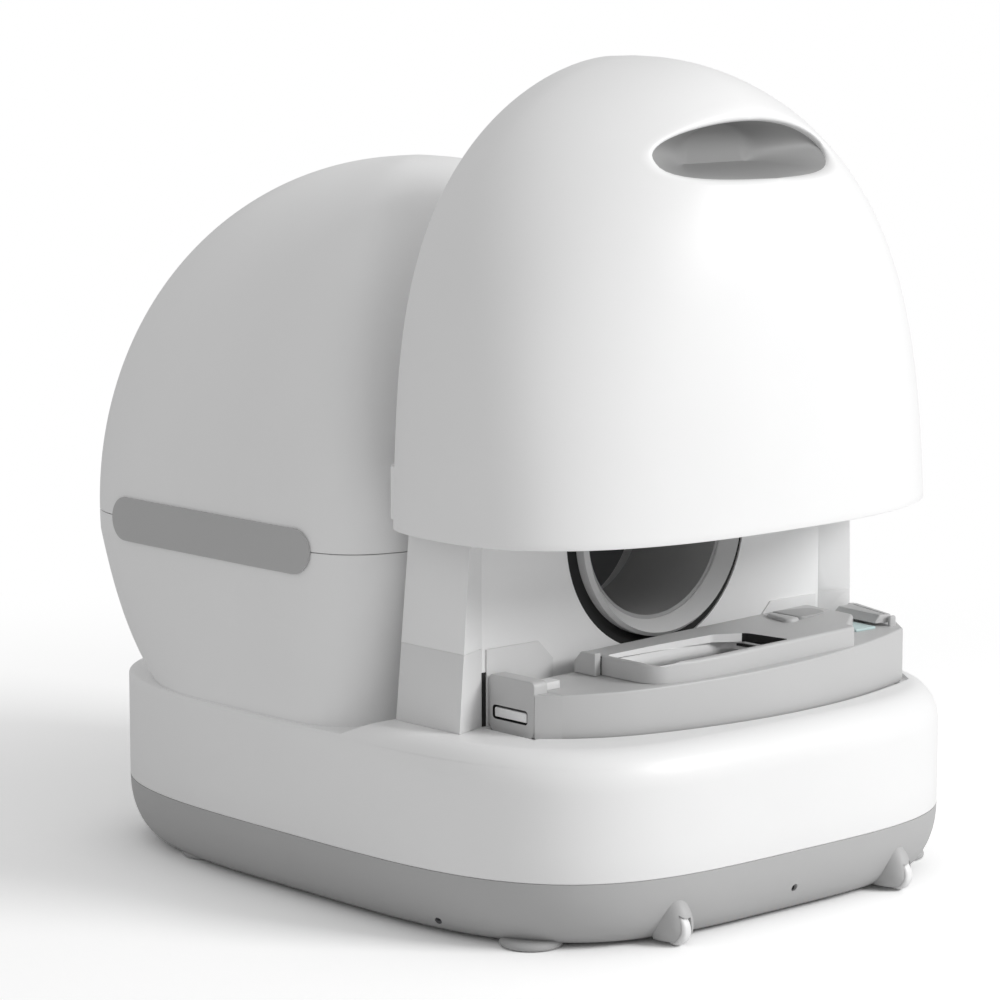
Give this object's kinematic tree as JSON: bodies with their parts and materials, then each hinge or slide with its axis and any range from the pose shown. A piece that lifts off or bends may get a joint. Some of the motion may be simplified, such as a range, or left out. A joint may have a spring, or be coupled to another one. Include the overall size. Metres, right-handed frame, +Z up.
{
  "type": "self cleaning litter box",
  "caption": "Rounded floor-standing litter box: a turning drum in a white housing on a grey tub, with a lift-up rear cover over a bagging tray.",
  "frame": {"origin": "middle of the footprint on the floor", "axes": "+Z up, -Y towards the waste side with the bagging tray, +Y towards the cat's entrance, X across the symmetric width"},
  "size_m": [0.51, 0.6202, 0.6462],
  "materials": {
    "white_satin": "satin",
    "grey_satin": "satin",
    "light_grey": "satin",
    "pale_grey": "satin",
    "dark_grey": "matte",
    "black_rubber": "matte",
    "inner_grey": "matte",
    "gear_plastic": "matte",
    "steel": "brushed",
    "board_green": "matte",
    "dark_window": "gloss",
    "clear_teal": "gloss",
    "bag_white": "soft gloss",
    "load_metal": "matte"
  },
  "bodies": {
    "base": {"base_pan": "grey_satin", "pan_screws": "steel", "rubber_feet": "black_rubber", "caster_housings": "grey_satin", "caster_axles": "steel", "load_cells": "load_metal", "base_housing": "white_satin", "control_panel": "dark_grey", "display_window": "dark_window", "power_inlet": "black_rubber", "lower_shell": "white_satin", "entrance_ring": "light_grey", "sensor_window": "dark_window", "motor": "steel", "motor_bracket": "steel", "roller_brackets": "inner_grey", "roller_axles": "steel", "circuit_board": "board_green", "service_wall": "white_satin", "chute": "dark_grey", "port_ring": "light_grey", "port_seal": "black_rubber", "column_left": "white_satin", "column_right": "white_satin", "column_foot_left": "pale_grey", "column_foot_right": "pale_grey", "guide_tabs": "pale_grey", "guide_rails": "white_satin", "waste_bin": "dark_grey"},
    "upper_shell": {"upper_shell": "white_satin", "side_strip_left": "grey_satin", "side_strip_right": "grey_satin"},
    "cover": {"rear_cover": "white_satin", "handle_cup": "light_grey", "cover_runners": "white_satin"},
    "drum": {"drum_shell": "pale_grey", "drum_rear": "pale_grey", "drum_liner": "inner_grey", "sieve": "light_grey", "ring_gear": "gear_plastic"},
    "pinion": {"pinion": "gear_plastic"},
    "roller_front_left": {"roller_front_left": "black_rubber"},
    "roller_front_right": {"roller_front_right": "black_rubber"},
    "roller_rear_left": {"roller_rear_left": "black_rubber"},
    "roller_rear_right": {"roller_rear_right": "black_rubber"},
    "caster_wheel_left": {"caster_wheel_left": "white_satin"},
    "caster_wheel_right": {"caster_wheel_right": "white_satin"},
    "button_left": {"button_left": "light_grey"},
    "button_right": {"button_right": "light_grey"},
    "tray": {"tray_frame": "grey_satin", "end_cap": "grey_satin", "cap_window": "pale_grey", "seal_strip": "clear_teal", "clamp_pin": "steel", "bag_liner": "bag_white"},
    "bag_ring": {"bag_ring": "grey_satin"},
    "ring_button": {"ring_button": "grey_satin"},
    "end_latch": {"end_latch": "white_satin"},
    "clamp_bar": {"clamp_bar": "grey_satin"}
  },
  "joints": [
    {"name": "cover_lift", "type": "slide", "parent": "base", "child": "cover", "axis": [0, 0, 1], "range_m": [-0.1475, 0]},
    {"name": "drum_spin", "type": "hinge", "parent": "base", "child": "drum", "pos_m": [0, 0.112, 0.284], "axis": [0, 1, 0], "continuous": true},
    {"name": "pinion_spin", "type": "hinge", "parent": "base", "child": "pinion", "pos_m": [0.14848, 0.112, 0.10704], "axis": [0, 1, 0], "continuous": true},
    {"name": "roller_front_left_spin", "type": "hinge", "parent": "base", "child": "roller_front_left", "pos_m": [-0.1264, 0.04, 0.10357], "axis": [0, 1, 0], "continuous": true},
    {"name": "roller_front_right_spin", "type": "hinge", "parent": "base", "child": "roller_front_right", "pos_m": [0.1264, 0.04, 0.10357], "axis": [0, 1, 0], "continuous": true},
    {"name": "roller_rear_left_spin", "type": "hinge", "parent": "base", "child": "roller_rear_left", "pos_m": [-0.1264, 0.184, 0.10357], "axis": [0, 1, 0], "continuous": true},
    {"name": "roller_rear_right_spin", "type": "hinge", "parent": "base", "child": "roller_rear_right", "pos_m": [0.1264, 0.184, 0.10357], "axis": [0, 1, 0], "continuous": true},
    {"name": "caster_left_spin", "type": "hinge", "parent": "base", "child": "caster_wheel_left", "pos_m": [-0.122, -0.297, 0.0125], "axis": [1, 0, 0], "continuous": true},
    {"name": "caster_right_spin", "type": "hinge", "parent": "base", "child": "caster_wheel_right", "pos_m": [0.122, -0.297, 0.0125], "axis": [1, 0, 0], "continuous": true},
    {"name": "upper_shell_lift", "type": "slide", "parent": "base", "child": "upper_shell", "axis": [0, 0, 1], "range_m": [0, 0.1]},
    {"name": "tray_lift", "type": "slide", "parent": "base", "child": "tray", "axis": [0, 0, 1], "range_m": [0, 0.03]},
    {"name": "bag_ring_lift", "type": "slide", "parent": "tray", "child": "bag_ring", "axis": [0, 0, 1], "range_m": [0, 0.02]},
    {"name": "ring_button_press", "type": "slide", "parent": "bag_ring", "child": "ring_button", "axis": [0, 0, -1], "range_m": [0, 0.0015], "stiffness_N_per_m": 800},
    {"name": "end_latch_press", "type": "slide", "parent": "tray", "child": "end_latch", "axis": [1, 0, 0], "range_m": [0, 0.0025], "stiffness_N_per_m": 800},
    {"name": "clamp_bar_hinge", "type": "hinge", "parent": "tray", "child": "clamp_bar", "pos_m": [0.18973, -0.22407, 0.19674], "axis": [0.2904, 0.9569, 0.0074], "range_deg": [0, 75]},
    {"name": "button_left_press", "type": "slide", "parent": "base", "child": "button_left", "axis": [0, -1, 0], "range_m": [0, 0.0015], "stiffness_N_per_m": 800},
    {"name": "button_right_press", "type": "slide", "parent": "base", "child": "button_right", "axis": [0, -1, 0], "range_m": [0, 0.0015], "stiffness_N_per_m": 800}
  ],
  "couplings": [
    {"joint": "pinion_spin", "follows": "drum_spin", "ratio": -10},
    {"joint": "roller_front_left_spin", "follows": "drum_spin", "ratio": -13.687},
    {"joint": "roller_front_right_spin", "follows": "drum_spin", "ratio": -13.687},
    {"joint": "roller_rear_left_spin", "follows": "drum_spin", "ratio": -13.687},
    {"joint": "roller_rear_right_spin", "follows": "drum_spin", "ratio": -13.687}
  ]
}
